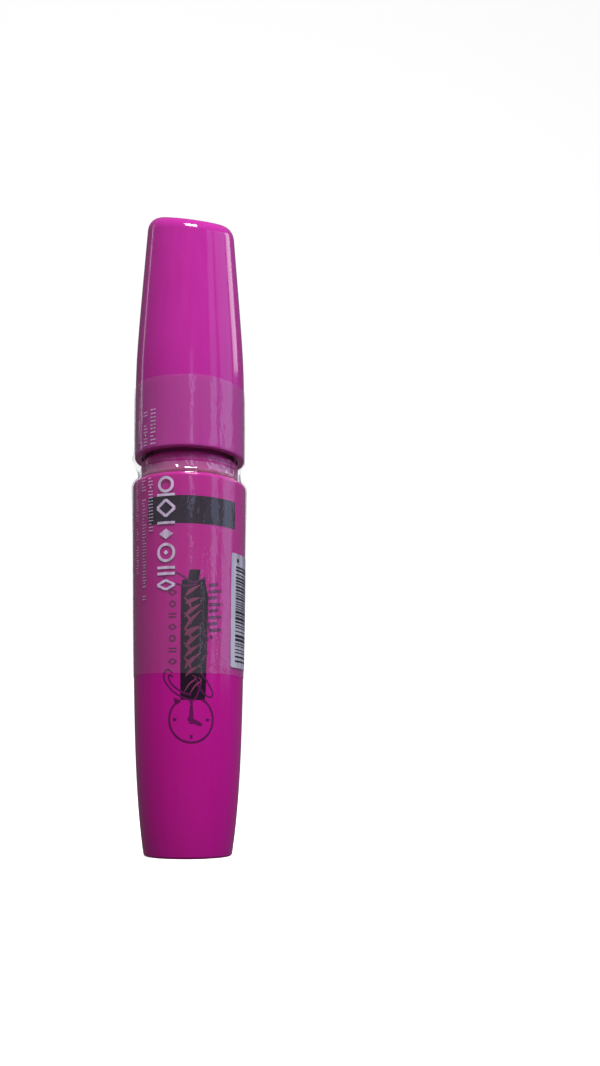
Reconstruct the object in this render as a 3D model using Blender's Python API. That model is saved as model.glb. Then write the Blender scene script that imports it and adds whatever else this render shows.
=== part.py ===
"""Mascara tube: a tapered bottle, a screw cap with a slanted top that carries the wand, and a clear sleeve.

The origin is the centre of the bottle's foot, +Z runs up the tube's axis, and the printed front faces -Y.
Every piece is turned about that axis. All turned pieces share one number of sides and one phase, so that
close fits stay clear of each other at rest, and the gaps are wide enough for the cap to turn.
"""

import math

import bmesh
import bpy

MM = 0.001

# Turned surfaces
SIDES = 32
ARC_STEPS = 2

# Bottle: outside
FOOT_RADIUS = 8.45 * MM
FOOT_FILLET = 0.6 * MM
BELLY_SWELL = 2.0 * MM
BELLY_REACH = 13.0 * MM
BODY_TAPER = 0.005
SHOULDER_Z = 71.2 * MM
SHOULDER_FILLET = 0.8 * MM
UNDERCUT_RADIUS = 8.9 * MM
UNDERCUT_HEIGHT = 0.8 * MM
STOP_RING_RADIUS = 9.25 * MM
STOP_RING_TOP_Z = 75.5 * MM
STOP_RING_FILLET = 0.9 * MM
NECK_RADIUS = 7.1 * MM
MOUTH_Z = 88.0 * MM

# Screw thread between neck and cap
THREAD_PITCH = 2.3 * MM
THREAD_DEPTH = 0.65 * MM
THREAD_START_Z = 77.6 * MM
THREAD_END_Z = 86.0 * MM
THREAD_ROWS_PER_TURN = 6

# Bottle: inside
WALL = 1.5 * MM
FLOOR_Z = 1.8 * MM
CAVITY_TOP_Z = 66.0 * MM
NECK_BORE_RADIUS = 5.6 * MM
NECK_BORE_START_Z = 70.0 * MM

# Contents
FILL_TOP_Z = 62.0 * MM
FILL_BORE_RADIUS = 5.2 * MM
FILL_BORE_FLOOR_Z = 4.1 * MM

# Wiper
WIPER_RADIUS = 5.4 * MM
WIPER_WALL = 0.5 * MM
WIPER_FLANGE_RADIUS = 6.9 * MM
WIPER_FLANGE_HEIGHT = 0.7 * MM
WIPER_CONE_Z = 75.2 * MM
WIPER_LIP_Z = 70.6 * MM
WIPER_ORIFICE_RADIUS = 2.25 * MM

# Cap shell
CAP_RIM_Z = 75.9 * MM
CAP_RADIUS = 10.5 * MM
CAP_TAPER = 0.087
CAP_TAPER_Z = 94.0 * MM
CAP_TAPER_BLEND = 6.0 * MM
CAP_TOP_Z = 122.2 * MM
CAP_SLANT = math.radians(24.5)
CAP_LOW_SIDE = math.radians(-81.0)
CAP_TOP_FILLET = 2.9 * MM
CAP_INNER_FILLET = 1.5 * MM
CAP_RIM_FILLET = 0.3 * MM
CAP_WALL = 1.3 * MM
CAP_BORE_RADIUS = 9.15 * MM
CAP_BORE_TOP_Z = 92.5 * MM

# Inner cap, pressed into the shell
LINER_RADIUS = 9.0 * MM
LINER_BORE_RADIUS = 8.55 * MM
LINER_FOOT_Z = 76.4 * MM
LINER_CEILING_Z = 89.2 * MM
LINER_TOP_Z = 92.1 * MM
BOSS_ROOT_RADIUS = 4.4 * MM
BOSS_TIP_RADIUS = 2.7 * MM
BOSS_TIP_Z = 74.4 * MM
BOSS_BORE_RADIUS = 2.1 * MM
BOSS_BORE_TOP_Z = 86.2 * MM

# Wand stem
STEM_RADIUS = 1.95 * MM
STEM_END_RADIUS = 1.7 * MM
STEM_END_Z = 35.2 * MM
STEM_TAPER_Z = 38.0 * MM
STEM_TOP_Z = 86.0 * MM
SOCKET_RADIUS = 1.05 * MM
SOCKET_TOP_Z = 40.0 * MM

# Brush
BRUSH_SIDES = 20
BRUSH_ROWS = 27
BRUSH_CORE_RADIUS = 0.85 * MM
BRUSH_VALLEY_RADIUS = 1.3 * MM
BRUSH_WIDEST_RADIUS = 4.6 * MM
BRUSH_TIP_SHARE = 0.2
BRUSH_SKIRT_SHARE = 0.42
BRUSH_SKIRT_LENGTH = 3.0 * MM
BRUSH_ROOT_Z = 34.9 * MM
BRUSH_TIP_Z = 5.0 * MM
BRUSH_SHANK_TOP_Z = 39.6 * MM

# Clear sleeve, parted along the groove between bottle and cap
FILM = 0.1 * MM
FILM_GAP = 0.12 * MM
SHOULDER_SLACK = 0.2 * MM
SLACK_START_Z = 60.0 * MM
CAP_FILM_GAP = 0.28 * MM
FILM_FOOT_Z = 34.3 * MM
FILM_TOP_Z = 88.9 * MM
TEAR_LOWER_Z = 73.4 * MM
TEAR_UPPER_Z = 73.9 * MM
GROOVE_FILM_RADIUS = 9.8 * MM


# ---------------------------------------------------------------- shapes


def body_radius(z):
    """Outer radius of the bottle: it swells quickly above the foot, then widens slowly to the shoulder."""
    return FOOT_RADIUS + BELLY_SWELL * (1 - math.exp(-z / BELLY_REACH)) + BODY_TAPER * z


def cap_radius(z):
    """Outer radius of the cap: nearly straight at the rim, bending smoothly into a steady taper."""
    above = z - CAP_TAPER_Z
    return CAP_RADIUS - CAP_TAPER * (math.hypot(above, CAP_TAPER_BLEND) + above) / 2


def arc(centre, radius, start, end, steps):
    """Points (r, z) along an arc between two angles."""
    turns = [start + (end - start) * step / steps for step in range(steps + 1)]
    return [(centre[0] + radius * math.cos(a), centre[1] + radius * math.sin(a)) for a in turns]


def fillet(before, corner, after, radius):
    """Points of the arc that rounds one corner of an outline."""
    to_before = (before[0] - corner[0], before[1] - corner[1])
    to_after = (after[0] - corner[0], after[1] - corner[1])
    angle_before = math.atan2(to_before[1], to_before[0])
    angle_after = math.atan2(to_after[1], to_after[0])
    opening = math.remainder(angle_after - angle_before, math.tau)
    middle = angle_before + opening / 2
    reach = radius / math.sin(abs(opening) / 2)
    centre = (corner[0] + reach * math.cos(middle), corner[1] + reach * math.sin(middle))
    sweep = math.copysign(math.pi - abs(opening), -opening)
    start = middle + math.pi - sweep / 2
    return arc(centre, radius, start, start + sweep, ARC_STEPS)


def rounded(corners):
    """An outline's points, from (r, z) corners and (r, z, radius) corners that are rounded."""
    points = []
    for index, corner in enumerate(corners):
        if len(corner) == 2:
            points.append(corner)
            continue
        before = corners[index - 1]
        after = corners[(index + 1) % len(corners)]
        points += fillet(before, corner, after, corner[2])
    return points


def spaced(start, end, count, bunching=1.0):
    """Values from start to end; a bunching above 1 packs them towards the start."""
    return [start + (end - start) * (step / (count - 1)) ** bunching for step in range(count)]


def thread_height(z, angle):
    """Height of a rounded single-start thread above its root, fading out over half a turn at both ends."""
    phase = ((z - THREAD_START_Z) / THREAD_PITCH - angle / math.tau) % 1.0
    ridge = (1 - math.cos(math.tau * phase)) / 2
    fade = 2 * min(z - THREAD_START_Z, THREAD_END_Z - z) / THREAD_PITCH
    return THREAD_DEPTH * ridge * max(0.0, min(1.0, fade))


def thread_rows():
    turns = (THREAD_END_Z - THREAD_START_Z) / THREAD_PITCH
    return spaced(THREAD_START_Z, THREAD_END_Z, round(turns * THREAD_ROWS_PER_TURN) + 1)


# ---------------------------------------------------------------- solids


def finish(name, colour, roughness, metallic=0.0, alpha=1.0):
    """A Principled BSDF material of one colour."""
    material = bpy.data.materials.new(name)
    material.use_nodes = True
    shader = material.node_tree.nodes["Principled BSDF"]
    shader.inputs["Base Color"].default_value = (*colour, 1.0)
    shader.inputs["Roughness"].default_value = roughness
    shader.inputs["Metallic"].default_value = metallic
    shader.inputs["Alpha"].default_value = alpha
    return material


def turned(name, outline_at, material, sides=SIDES):
    """A closed solid about +Z. outline_at(angle) gives its outline's (r, z) points in the half plane there.

    An outline that starts on the axis also ends on it; any other outline closes on itself and makes a ring.
    """
    shape = bmesh.new()
    columns = []
    for step in range(sides):
        angle = math.tau * step / sides
        column = []
        for row, (r, z) in enumerate(outline_at(angle)):
            if r == 0 and columns:
                column.append(columns[0][row])
            else:
                column.append(shape.verts.new((r * math.cos(angle), r * math.sin(angle), z)))
        columns.append(column)

    rows = len(columns[0])
    starts_on_axis = outline_at(0.0)[0][0] == 0
    last_row = rows - 1 if starts_on_axis else rows
    for step, column in enumerate(columns):
        following = columns[(step + 1) % sides]
        for row in range(last_row):
            above = (row + 1) % rows
            corners = [column[row], column[above], following[above], following[row]]
            shape.faces.new(list(dict.fromkeys(corners)))

    bmesh.ops.recalc_face_normals(shape, faces=shape.faces)
    mesh = bpy.data.meshes.new(name)
    shape.to_mesh(mesh)
    shape.free()
    mesh.shade_smooth()
    mesh.set_sharp_from_angle(angle=math.radians(35))
    mesh.materials.append(material)
    solid = bpy.data.objects.new(name, mesh)
    bpy.context.scene.collection.objects.link(solid)
    return solid


def skin(path, thickness):
    """A closed outline: a path of (r, z) points, and the same path moved out by the thickness."""
    outer = []
    for index, (r, z) in enumerate(path):
        before = path[max(index - 1, 0)]
        after = path[min(index + 1, len(path) - 1)]
        along = (after[0] - before[0], after[1] - before[1])
        length = math.hypot(*along)
        outer.append((r + thickness * along[1] / length, z - thickness * along[0] / length))
    return path + outer[::-1]


# ---------------------------------------------------------------- sub-parts


def make_bottle(material):
    """Moulded bottle: tapered body, shoulder, undercut and stop ring, and a neck with a single-start thread."""
    undercut_top = SHOULDER_Z + UNDERCUT_HEIGHT
    body_rows = spaced(2 * FOOT_FILLET, SHOULDER_Z - 2 * SHOULDER_FILLET, 8, bunching=1.6)
    body = [(body_radius(z), z) for z in body_rows]
    cavity_rows = spaced(3 * WALL, CAVITY_TOP_Z, 6, bunching=1.6)
    cavity = [(body_radius(z) - WALL, z) for z in reversed(cavity_rows)]

    def outline(angle):
        thread = [(NECK_RADIUS + thread_height(z, angle), z) for z in thread_rows()]
        return rounded(
            [(0, 0), (FOOT_RADIUS, 0, FOOT_FILLET)]
            + body
            + [
                (body_radius(SHOULDER_Z), SHOULDER_Z, SHOULDER_FILLET),
                (UNDERCUT_RADIUS, SHOULDER_Z),
                (UNDERCUT_RADIUS, undercut_top),
                (STOP_RING_RADIUS, undercut_top),
                (STOP_RING_RADIUS, STOP_RING_TOP_Z, STOP_RING_FILLET),
                (NECK_RADIUS, STOP_RING_TOP_Z, 0.4 * MM),
            ]
            + thread
            + [(NECK_RADIUS, MOUTH_Z, 0.4 * MM), (NECK_BORE_RADIUS, MOUTH_Z)]
            + [(NECK_BORE_RADIUS, NECK_BORE_START_Z)]
            + cavity
            + [(body_radius(FLOOR_Z) - WALL, FLOOR_Z, 1.0 * MM), (0, FLOOR_Z)]
        )

    return turned("bottle", outline, material)


def make_fill(material):
    """The mascara itself, a thick cream round the space that the brush takes."""
    clearance = 0.3 * MM
    side_rows = spaced(3 * WALL, FILL_TOP_Z, 5, bunching=1.4)
    side = [(body_radius(z) - WALL - clearance, z) for z in side_rows]
    foot_z = FLOOR_Z + clearance
    foot_radius = body_radius(foot_z) - WALL - clearance
    top = [(FILL_BORE_RADIUS, FILL_TOP_Z), (FILL_BORE_RADIUS, FILL_BORE_FLOOR_Z), (0, FILL_BORE_FLOOR_Z)]
    outline = rounded([(0, foot_z), (foot_radius, foot_z, 1.0 * MM)] + side + top)
    return turned("mascara_fill", lambda angle: outline, material)


def make_wiper(material):
    """Soft insert in the neck: a flange on the mouth, a tube, and a cone whose lip scrapes the brush."""
    flange_foot = MOUTH_Z + 0.15 * MM
    flange_top = flange_foot + WIPER_FLANGE_HEIGHT
    bore = WIPER_RADIUS - WIPER_WALL
    outline = rounded(
        [
            (WIPER_RADIUS, flange_foot),
            (WIPER_FLANGE_RADIUS, flange_foot),
            (WIPER_FLANGE_RADIUS, flange_top, 0.2 * MM),
            (bore, flange_top, 0.2 * MM),
            (bore, WIPER_CONE_Z),
            (WIPER_ORIFICE_RADIUS, WIPER_LIP_Z),
            (WIPER_ORIFICE_RADIUS + 0.3 * MM, WIPER_LIP_Z - 0.4 * MM),
            (WIPER_RADIUS, WIPER_CONE_Z - 0.6 * MM),
        ]
    )
    return turned("wiper", lambda angle: outline, material)


def make_cap_shell(material):
    """Outer cap: a tapering cup whose closed top is a flat, slanted face with a rounded edge."""
    wall_shares = (0.12, 0.28, 0.42, 0.56, 0.7, 0.84, 1.0)
    step_radius = cap_radius(CAP_BORE_TOP_Z) - CAP_WALL - 0.2 * MM

    def top_corner(slope, inset, drop):
        """Where the wall, moved in by inset, meets the top, moved down by drop."""
        r = CAP_RADIUS - inset
        for _ in range(6):
            z = CAP_TOP_Z - drop + slope * r
            r = cap_radius(z) - inset
        return r, z

    def outline(angle):
        slope = -math.tan(CAP_SLANT) * math.cos(angle - CAP_LOW_SIDE)
        edge_r, edge_z = top_corner(slope, 0, 0)
        inner_r, inner_z = top_corner(slope, CAP_WALL, CAP_WALL)
        wall_end = edge_z - 1.6 * CAP_TOP_FILLET
        wall = [CAP_RIM_Z + share * (wall_end - CAP_RIM_Z) for share in wall_shares]
        inner_wall = spaced(inner_z - 2 * CAP_INNER_FILLET, CAP_BORE_TOP_Z + 1 * MM, 4)
        return rounded(
            [(CAP_BORE_RADIUS, CAP_RIM_Z), (cap_radius(CAP_RIM_Z), CAP_RIM_Z, CAP_RIM_FILLET)]
            + [(cap_radius(z), z) for z in wall]
            + [(edge_r, edge_z, CAP_TOP_FILLET), (0, CAP_TOP_Z)]
        ), rounded(
            [(0, CAP_TOP_Z - CAP_WALL), (inner_r, inner_z, CAP_INNER_FILLET)]
            + [(cap_radius(z) - CAP_WALL, z) for z in inner_wall]
            + [(step_radius, CAP_BORE_TOP_Z), (CAP_BORE_RADIUS, CAP_BORE_TOP_Z)]
        )

    def from_axis_to_axis(angle):
        outside, inside = outline(angle)
        return inside + outside

    return turned("cap_shell", from_axis_to_axis, material)


def make_inner_cap(material):
    """Inner cap: a threaded skirt, a ceiling that seals on the wiper, and a long boss that grips the stem."""

    def outline(angle):
        half_turn = angle + math.pi
        thread = [(LINER_BORE_RADIUS - thread_height(z, half_turn), z) for z in thread_rows()]
        return rounded(
            [
                (0, LINER_TOP_Z),
                (LINER_RADIUS, LINER_TOP_Z, 0.4 * MM),
                (LINER_RADIUS, LINER_FOOT_Z),
                (LINER_BORE_RADIUS, LINER_FOOT_Z),
            ]
            + thread
            + [
                (LINER_BORE_RADIUS, LINER_CEILING_Z),
                (BOSS_ROOT_RADIUS, LINER_CEILING_Z, 0.4 * MM),
                (BOSS_TIP_RADIUS, BOSS_TIP_Z, 0.3 * MM),
                (BOSS_BORE_RADIUS, BOSS_TIP_Z),
                (BOSS_BORE_RADIUS, BOSS_BORE_TOP_Z),
                (0, BOSS_BORE_TOP_Z),
            ]
        )

    return turned("inner_cap", outline, material)


def make_stem(material):
    """Round wand stem, pressed into the boss above and holding the brush's shank below."""
    outline = rounded(
        [
            (0, SOCKET_TOP_Z),
            (SOCKET_RADIUS, SOCKET_TOP_Z),
            (SOCKET_RADIUS, STEM_END_Z),
            (STEM_END_RADIUS, STEM_END_Z, 0.2 * MM),
            (STEM_RADIUS, STEM_TAPER_Z),
            (STEM_RADIUS, STEM_TOP_Z, 0.3 * MM),
            (0, STEM_TOP_Z),
        ]
    )
    return turned("wand_stem", lambda angle: outline, material, sides=16)


def brush_radius(z):
    """Outside of the bristles: a short cone at the root, then a long taper to a round tip."""
    along = (BRUSH_ROOT_Z - z) / (BRUSH_ROOT_Z - BRUSH_TIP_Z)
    taper = 1 - (1 - BRUSH_TIP_SHARE) * along**4
    skirt = min(1.0, BRUSH_SKIRT_SHARE + (1 - BRUSH_SKIRT_SHARE) * (BRUSH_ROOT_Z - z) / BRUSH_SKIRT_LENGTH)
    return BRUSH_WIDEST_RADIUS * taper * skirt


def make_brush(material):
    """Moulded brush: a shank, a core, and bristles as points that alternate with the valleys round them."""
    rows = spaced(BRUSH_ROOT_Z, BRUSH_TIP_Z, BRUSH_ROWS)

    def outline(angle):
        column = round(angle / math.tau * BRUSH_SIDES)
        bristles = []
        for row, z in enumerate(rows):
            is_point = (row + column) % 2 == 0
            bristles.append((brush_radius(z) if is_point else BRUSH_VALLEY_RADIUS, z))
        shank = [(0, BRUSH_SHANK_TOP_Z), (BRUSH_CORE_RADIUS, BRUSH_SHANK_TOP_Z)]
        collar = [(BRUSH_CORE_RADIUS, BRUSH_ROOT_Z)]
        return shank + collar + bristles + [(0, BRUSH_TIP_Z - 0.3 * MM)]

    return turned("brush", outline, material, sides=BRUSH_SIDES)


def lower_film_gap(z):
    """The sleeve lies close to the body and stands off more towards the shoulder."""
    climb = max(0.0, (z - SLACK_START_Z) / (SHOULDER_Z - SLACK_START_Z))
    return FILM_GAP + SHOULDER_SLACK * climb


def make_lower_film(material):
    """Sleeve round the bottle: up the body, over the shoulder and into the groove, as far as the tear line."""
    shoulder_radius = body_radius(SHOULDER_Z) - SHOULDER_FILLET
    shoulder_centre = (shoulder_radius, SHOULDER_Z - SHOULDER_FILLET)
    body_rows = spaced(FILM_FOOT_Z, SHOULDER_Z - 2 * SHOULDER_FILLET, 6)
    path = [(body_radius(z) + lower_film_gap(z), z) for z in body_rows]
    path += arc(shoulder_centre, SHOULDER_FILLET + lower_film_gap(SHOULDER_Z), 0, math.pi / 2, 3)
    path += [(GROOVE_FILM_RADIUS + 0.1 * MM, SHOULDER_Z + 0.8 * MM), (GROOVE_FILM_RADIUS, TEAR_LOWER_Z)]
    outline = skin(path, FILM)
    return turned("shrink_band_bottle", lambda angle: outline, material)


def make_upper_film(material):
    """Sleeve round the cap: from the tear line, out under the rim and up the wall."""
    wall_rows = spaced(CAP_RIM_Z + 0.6 * MM, FILM_TOP_Z, 5)
    path = [
        (GROOVE_FILM_RADIUS, TEAR_UPPER_Z),
        (GROOVE_FILM_RADIUS + 0.3 * MM, CAP_RIM_Z - 0.9 * MM),
        (CAP_RADIUS, CAP_RIM_Z - 0.25 * MM),
    ]
    path += [(cap_radius(z) + CAP_FILM_GAP, z) for z in wall_rows]
    outline = skin(path, FILM)
    return turned("shrink_band_cap", lambda angle: outline, material)


# ---------------------------------------------------------------- assembly


def clear_scene():
    for thing in list(bpy.data.objects):
        bpy.data.objects.remove(thing, do_unlink=True)


def joint_empty(name):
    """An empty at the foot of the tube's axis, which is the axis of both joints."""
    empty = bpy.data.objects.new(name, None)
    bpy.context.scene.collection.objects.link(empty)
    return empty


def build():
    clear_scene()
    magenta = finish("bottle_plastic", (0.37, 0.01, 0.22), 0.22)
    cap_magenta = finish("cap_plastic", (0.46, 0.02, 0.30), 0.2)
    liner_pink = finish("inner_cap_plastic", (0.48, 0.02, 0.26), 0.35)
    wiper_black = finish("wiper_rubber", (0.02, 0.01, 0.02), 0.5)
    cream_black = finish("mascara_cream", (0.01, 0.01, 0.01), 0.3)
    stem_black = finish("stem_plastic", (0.015, 0.017, 0.017), 0.3)
    brush_pink = finish("brush_elastomer", (0.53, 0.02, 0.2), 0.5)
    clear_film = finish("sleeve_film", (0.95, 0.95, 0.97), 0.08, alpha=0.25)

    turning = joint_empty("unscrew_axis")
    lifting = joint_empty("pull_axis")
    lifting.parent = turning

    make_bottle(magenta)
    make_fill(cream_black)
    make_lower_film(clear_film)
    make_wiper(wiper_black).parent = turning
    make_cap_shell(cap_magenta).parent = lifting
    make_inner_cap(liner_pink).parent = lifting
    make_stem(stem_black).parent = lifting
    make_brush(brush_pink).parent = lifting
    make_upper_film(clear_film.copy()).parent = lifting


build()
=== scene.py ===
import math
import random
from math import cos, sin

import bmesh
import bpy
from mathutils import Euler, Matrix, Vector, noise


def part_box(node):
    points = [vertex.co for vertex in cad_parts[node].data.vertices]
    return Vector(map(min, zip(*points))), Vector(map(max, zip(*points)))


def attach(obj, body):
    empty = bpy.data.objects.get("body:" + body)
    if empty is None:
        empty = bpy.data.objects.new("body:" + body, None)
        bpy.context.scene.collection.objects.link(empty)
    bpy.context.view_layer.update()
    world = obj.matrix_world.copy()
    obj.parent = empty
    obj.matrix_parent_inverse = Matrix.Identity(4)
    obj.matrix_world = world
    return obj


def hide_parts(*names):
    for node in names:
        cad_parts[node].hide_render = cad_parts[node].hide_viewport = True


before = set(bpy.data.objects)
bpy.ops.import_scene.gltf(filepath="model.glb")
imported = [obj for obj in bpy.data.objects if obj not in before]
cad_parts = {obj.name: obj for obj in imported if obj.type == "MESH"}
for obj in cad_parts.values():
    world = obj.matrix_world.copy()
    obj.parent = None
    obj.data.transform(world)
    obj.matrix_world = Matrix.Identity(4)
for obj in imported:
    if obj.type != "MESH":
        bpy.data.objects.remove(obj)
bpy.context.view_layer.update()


# ---- Bottle ----
# One moulding of glossy magenta plastic: a body that swells above the foot and widens to a shoulder,
# then an undercut, a stop ring for the cap, and a neck with a single-start right-hand thread.

MM = 0.001
TURNED_SIDES = 160
SHARP_ANGLE = 38
FILLET_STEPS = 6
FILLET_HOLD = 0.12
FOOT_RADIUS = 8.45 * MM
FOOT_FILLET = 0.6 * MM
BELLY_SWELL = 2.0 * MM
BELLY_REACH = 13.0 * MM
BODY_TAPER = 0.005
SHOULDER_Z = 71.2 * MM
SHOULDER_FILLET = 0.8 * MM
UNDERCUT_RADIUS = 8.9 * MM
UNDERCUT_HEIGHT = 0.8 * MM
UNDERCUT_FILLET = 0.12 * MM
STOP_RING_RADIUS = 9.25 * MM
STOP_RING_TOP_Z = 75.5 * MM
STOP_RING_FILLET = 0.9 * MM
NECK_RADIUS = 7.1 * MM
NECK_ROOT_FILLET = 0.6 * MM
NECK_BORE_RADIUS = 5.6 * MM
NECK_BORE_FOOT_Z = 70.0 * MM
BOTTLE_WALL = 1.5 * MM
BOTTLE_FLOOR_Z = 1.8 * MM
BOTTLE_FLOOR_FILLET = 1.0 * MM
CAVITY_TOP_Z = 66.0 * MM
MOUTH_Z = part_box("bottle")[1].z
MOUTH_FILLET = 0.4 * MM
MOUTH_BORE_FILLET = 0.15 * MM
THREAD_PITCH = 2.3 * MM
THREAD_DEPTH = 0.65 * MM
THREAD_SLIMNESS = 1.5
THREAD_FADE_TURNS = 0.05
THREAD_START_Z = 78.2 * MM
THREAD_TURNS = 3.0
THREAD_ROWS_PER_TURN = 16


def body_radius(z):
    """The body swells quickly above the foot, then widens slowly to the shoulder."""
    return FOOT_RADIUS + BELLY_SWELL * (1 - math.exp(-z / BELLY_REACH)) + BODY_TAPER * z


def arc(centre, radius, start, end, steps):
    """Points (r, z) along an arc between two angles."""
    turns = [start + (end - start) * step / steps for step in range(steps + 1)]
    return [(centre[0] + radius * cos(a), centre[1] + radius * sin(a)) for a in turns]


def fillet(before, corner, after, radius):
    """The arc that rounds one corner, with a point just outside each end that keeps the flats flat."""
    to_before = Vector((before[0] - corner[0], before[1] - corner[1])).normalized()
    to_after = Vector((after[0] - corner[0], after[1] - corner[1])).normalized()
    opening = to_before.angle(to_after)
    middle = (to_before + to_after).normalized()
    centre = Vector(corner[:2]) + middle * radius / sin(opening / 2)
    tangent = radius / math.tan(opening / 2)
    first = Vector(corner[:2]) + to_before * tangent
    last = Vector(corner[:2]) + to_after * tangent
    start = math.atan2(*(first - centre).yx)
    sweep = math.remainder(math.atan2(*(last - centre).yx) - start, math.tau)
    hold = FILLET_HOLD * radius
    points = arc(centre, radius, start, start + sweep, FILLET_STEPS)
    return [tuple(first + to_before * hold)] + points + [tuple(last + to_after * hold)]


def rounded(corners):
    """An outline's points, from (r, z) corners and (r, z, radius) corners that are rounded."""
    points = []
    for index, corner in enumerate(corners):
        if len(corner) == 2:
            points.append(corner)
        else:
            points += fillet(corners[index - 1], corner, corners[(index + 1) % len(corners)], corner[2])
    return points


def spaced(start, end, count, bunching=1.0):
    """Values from start to end; a bunching above 1 packs them towards the start."""
    return [start + (end - start) * (step / (count - 1)) ** bunching for step in range(count)]


def ease(value):
    """0 below 0, 1 above 1, and a smooth step between."""
    value = max(0.0, min(1.0, value))
    return value * value * (3 - 2 * value)


def thread_height(z, angle):
    """A rounded ridge along a helix, which tapers to nothing at each end."""
    climb = (z - THREAD_START_Z) / THREAD_PITCH - angle / math.tau
    turn = round(climb)
    along = turn + angle / math.tau
    ridge = ((1 + cos(math.tau * (climb - turn))) / 2) ** THREAD_SLIMNESS
    start, end = ease(along / THREAD_FADE_TURNS), ease((THREAD_TURNS - along) / THREAD_FADE_TURNS)
    return THREAD_DEPTH * ridge * start * end


def thread_rows():
    """Heights for an outline's points over the thread, close enough to draw its ridge."""
    low = THREAD_START_Z - THREAD_PITCH / 2
    high = THREAD_START_Z + (THREAD_TURNS + 0.5) * THREAD_PITCH
    return spaced(low, high, round((THREAD_TURNS + 1) * THREAD_ROWS_PER_TURN) + 1)


def turned(name, outline_at, finish, sides=TURNED_SIDES, sharp_above=SHARP_ANGLE):
    """A closed mesh about +Z, from outline_at(angle): the (r, z) points of its outline at that angle."""
    shape = bmesh.new()
    columns = []
    for step in range(sides):
        angle = math.tau * step / sides
        column = []
        for row, (r, z) in enumerate(outline_at(angle)):
            if r == 0 and columns:
                column.append(columns[0][row])
            else:
                column.append(shape.verts.new((r * cos(angle), r * sin(angle), z)))
        columns.append(column)
    rows = len(columns[0])
    last_row = rows - 1 if outline_at(0.0)[0][0] == 0 else rows
    for step, column in enumerate(columns):
        following = columns[(step + 1) % sides]
        for row in range(last_row):
            above = (row + 1) % rows
            corners = [column[row], column[above], following[above], following[row]]
            shape.faces.new(list(dict.fromkeys(corners)))
    return as_object(name, shape, finish, sharp_above)


def as_object(name, shape, finish, sharp_above):
    """A smooth-shaded object whose faces point out, with edges sharper than so many degrees kept sharp."""
    bmesh.ops.recalc_face_normals(shape, faces=shape.faces)
    mesh = bpy.data.meshes.new(name)
    shape.to_mesh(mesh)
    shape.free()
    mesh.materials.append(finish)
    mesh.shade_smooth()
    mesh.set_sharp_from_angle(angle=math.radians(sharp_above))
    thing = bpy.data.objects.new(name, mesh)
    bpy.context.scene.collection.objects.link(thing)
    return thing


def bottle_outline(angle):
    undercut_top = SHOULDER_Z + UNDERCUT_HEIGHT
    body_rows = spaced(2 * FOOT_FILLET, SHOULDER_Z - 2 * SHOULDER_FILLET, 40, 1.3)
    cavity_rows = spaced(CAVITY_TOP_Z, 3 * BOTTLE_WALL, 14)
    floor_radius = body_radius(BOTTLE_FLOOR_Z) - BOTTLE_WALL
    return rounded(
        [(0, 0), (FOOT_RADIUS, 0, FOOT_FILLET)]
        + [(body_radius(z), z) for z in body_rows]
        + [
            (body_radius(SHOULDER_Z), SHOULDER_Z, SHOULDER_FILLET),
            (UNDERCUT_RADIUS, SHOULDER_Z, UNDERCUT_FILLET),
            (UNDERCUT_RADIUS, undercut_top, UNDERCUT_FILLET),
            (STOP_RING_RADIUS, undercut_top, UNDERCUT_FILLET),
            (STOP_RING_RADIUS, STOP_RING_TOP_Z, STOP_RING_FILLET),
            (NECK_RADIUS, STOP_RING_TOP_Z, NECK_ROOT_FILLET),
        ]
        + [(NECK_RADIUS + thread_height(z, angle), z) for z in thread_rows()]
        + [(NECK_RADIUS, MOUTH_Z, MOUTH_FILLET), (NECK_BORE_RADIUS, MOUTH_Z, MOUTH_BORE_FILLET)]
        + [(NECK_BORE_RADIUS, NECK_BORE_FOOT_Z)]
        + [(body_radius(z) - BOTTLE_WALL, z) for z in cavity_rows]
        + [(floor_radius, BOTTLE_FLOOR_Z, BOTTLE_FLOOR_FILLET), (0, BOTTLE_FLOOR_Z)]
    )


def wire(shader, inputs):
    """Gives a shader node's inputs their values, or links them to the sockets that feed them."""
    for key, value in inputs.items():
        if isinstance(value, bpy.types.NodeSocket):
            shader.id_data.links.new(value, shader.inputs[key])
        else:
            shader.inputs[key].default_value = value


def node(tree, kind, inputs=None, **settings):
    """Adds a shader node: settings go to its properties, and inputs to its sockets."""
    made = tree.nodes.new(kind)
    for key, value in settings.items():
        setattr(made, key, value)
    wire(made, inputs or {})
    return made


def maths(tree, operation, *values):
    """The result of a Math node on numbers or sockets."""
    return node(tree, "ShaderNodeMath", dict(enumerate(values)), operation=operation).outputs[0]


def ramp(tree, value, low, high, start=0.0, end=1.0):
    """Start where the value is low, end where it is high, and a straight run between."""
    limits = {"Value": value, "From Min": low, "From Max": high, "To Min": start, "To Max": end}
    return node(tree, "ShaderNodeMapRange", limits).outputs[0]


def blended(tree, share, first, second):
    """A colour that goes from the first to the second as the share goes from 0 to 1."""
    return node(tree, "ShaderNodeMix", {0: share, 6: first, 7: second}, data_type="RGBA").outputs[2]


def grain(tree, scale, detail, turn=(0, 0, 0), distortion=0.0):
    """Noise fixed to the piece, which the three numbers of its scale stretch along the axes."""
    place = node(tree, "ShaderNodeTexCoord").outputs["Object"]
    stretched = node(tree, "ShaderNodeMapping", {"Vector": place, "Scale": scale, "Rotation": turn})
    inputs = {"Vector": stretched.outputs[0], "Scale": 1.0, "Detail": detail, "Distortion": distortion}
    return node(tree, "ShaderNodeTexNoise", inputs).outputs[0]


def relief(tree, height, distance, strength, under=None):
    """The normal of a surface raised by a height, on top of another relief if one is given."""
    inputs = {"Height": height, "Distance": distance, "Strength": strength}
    if under:
        inputs["Normal"] = under
    return node(tree, "ShaderNodeBump", inputs).outputs[0]


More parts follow.
